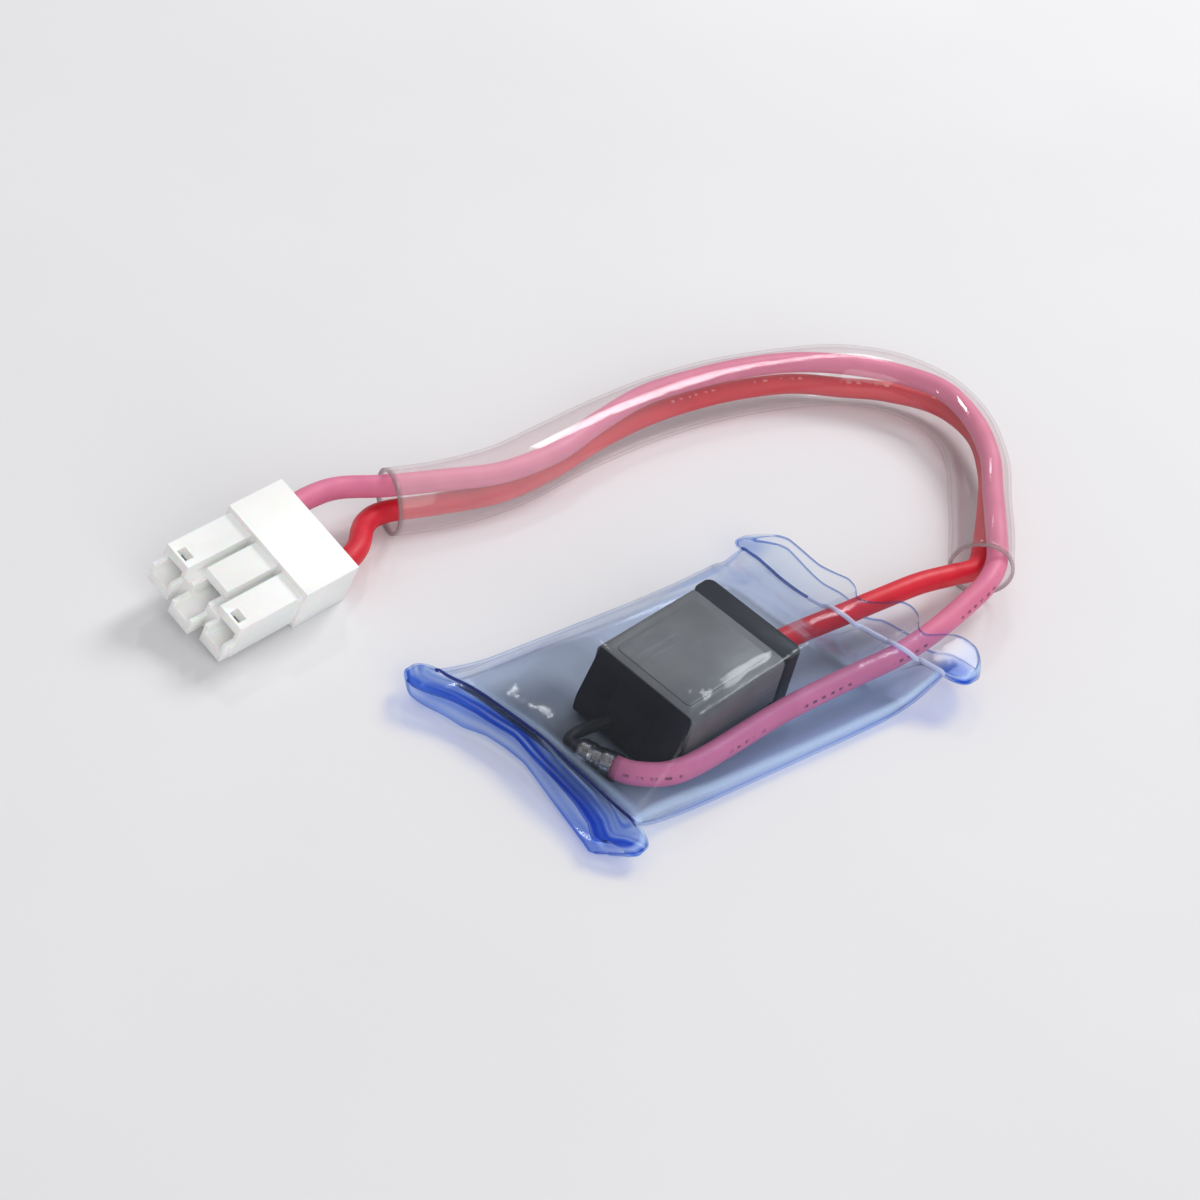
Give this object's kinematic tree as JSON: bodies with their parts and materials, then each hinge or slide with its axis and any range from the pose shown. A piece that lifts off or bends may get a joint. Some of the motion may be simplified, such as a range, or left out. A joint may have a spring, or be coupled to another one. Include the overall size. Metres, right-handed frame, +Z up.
{
  "type": "defrost thermostat",
  "caption": "Bimetal switch sealed in a clear film pouch, with two leads in a clear tube to a three-way plug; cold closes the contacts.",
  "frame": {"origin": "centre of the pouch's box, on the surface that the pouch rests on", "axes": "+X along the switch towards the lead end, +Y to the side that the plug lies on, +Z up"},
  "size_m": [0.1141, 0.0706, 0.0103],
  "materials": {
    "black_moulding": "satin moulded",
    "grey_metal": "smooth grey, satin",
    "bimetal": "rolled",
    "brown_moulding": "moulded",
    "pin_ceramic": "fired",
    "copper_spring": "rolled",
    "silver_contact": "smooth",
    "brass_terminal": "stamped",
    "black_resin": "cast",
    "black_sheath": "satin",
    "tinned_metal": "tinned",
    "clear_sleeve": "clear",
    "blue_film": "clear soft film, tinted blue",
    "red_sheath": "satin soft plastic",
    "pink_sheath": "satin soft plastic",
    "clear_tube": "clear soft tube",
    "white_nylon": "moulded, satin"
  },
  "bodies": {
    "switch": {"switch_housing": "black_moulding", "metal_cover": "grey_metal", "base_plate": "black_moulding", "bimetal_disc": "bimetal", "disc_guide": "brown_moulding", "arm_rivet": "brass_terminal", "moving_terminal": "brass_terminal", "fixed_contact": "silver_contact", "fixed_terminal": "brass_terminal", "tail_end_seal": "black_resin", "lead_end_seal": "black_resin", "tail_lead": "black_sheath", "splice_barrel": "tinned_metal", "splice_sleeve": "clear_sleeve", "pouch": "blue_film", "red_lead": "red_sheath", "pink_lead": "pink_sheath", "clear_tube": "clear_tube", "plug_housing": "white_nylon", "red_crimp_contact": "tinned_metal", "pink_crimp_contact": "tinned_metal"},
    "contact_leaf": {"contact_arm": "copper_spring", "moving_contact": "silver_contact"},
    "pin": {"push_pin": "pin_ceramic"}
  },
  "joints": [
    {"name": "arm_swing", "type": "hinge", "parent": "switch", "child": "contact_leaf", "pos_m": [-0.0088, -0.0004, 0.0038], "axis": [0, -1, 0], "range_deg": [0, 2.7], "stiffness_Nm_per_rad": 0.02},
    {"name": "pin_slide", "type": "slide", "parent": "switch", "child": "pin", "axis": [0, 0, 1], "range_m": [0, 0.00022], "deforming": ["bimetal_disc"]}
  ],
  "couplings": [
    {"joint": "arm_swing", "follows": "pin_slide", "rad_per_m": 212.77}
  ]
}
